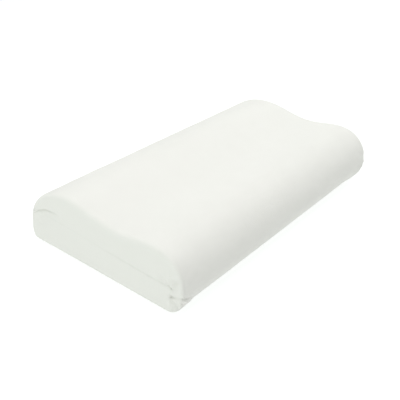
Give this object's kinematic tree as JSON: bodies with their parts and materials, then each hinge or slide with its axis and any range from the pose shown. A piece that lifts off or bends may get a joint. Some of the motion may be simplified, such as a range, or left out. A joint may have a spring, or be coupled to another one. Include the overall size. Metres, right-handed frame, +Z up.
{
  "type": "contour bed pillow",
  "caption": "Contour bed pillow: a moulded wave-shaped foam core in a thin liner, inside a fitted white knit cover that closes with a zip along the back.",
  "frame": {"origin": "on the underside, at the middle of the cover's length and width", "axes": "+X along the pillow's length, +Y from the low roll to the high roll, +Z up from the underside"},
  "size_m": [0.6007, 0.36, 0.129],
  "materials": {
    "cover_knit": "soft matte jersey knit, very fine vertical wales",
    "liner_knit": "thin matte stockinette",
    "foam": "open-cell foam with a moulded skin",
    "sewing_thread": "twisted polyester thread",
    "zip_tape": "herringbone woven tape",
    "zip_coil": "satin nylon monofilament",
    "zip_metal": "gloss off-white enamel on die-cast zinc",
    "label_satin": "plain white satin ribbon, no printing"
  },
  "bodies": {
    "pillow": {"cover_wrap": "cover_knit", "end_seam_left": "sewing_thread", "end_seam_right": "sewing_thread", "corner_seam_front_left": "sewing_thread", "corner_seam_front_right": "sewing_thread", "corner_seam_back_left": "sewing_thread", "corner_seam_back_right": "sewing_thread", "liner_sleeve": "liner_knit", "liner_seam_left": "sewing_thread", "liner_seam_right": "sewing_thread", "foam_core": "foam", "zip_tape_upper": "zip_tape", "zip_tape_lower": "zip_tape", "zip_stitch_upper": "sewing_thread", "zip_stitch_lower": "sewing_thread", "zip_coil_upper": "zip_coil", "zip_coil_lower": "zip_coil", "zip_top_stop_upper": "zip_metal", "zip_top_stop_lower": "zip_metal", "zip_bottom_stop": "zip_metal", "care_label": "label_satin"},
    "slider": {"zip_slider": "zip_metal"},
    "pull": {"zip_pull": "zip_metal"}
  },
  "joints": [
    {"name": "zip_slide", "type": "slide", "parent": "pillow", "child": "slider", "axis": [-1, 0, 0], "range_m": [0, 0.465], "deforming": ["zip_coil_upper", "zip_coil_lower"]},
    {"name": "pull_swing", "type": "hinge", "parent": "slider", "child": "pull", "pos_m": [0.232, 0.17414, 0.07386], "axis": [0, 0.4294, -0.9031], "range_deg": [0, 180]}
  ]
}
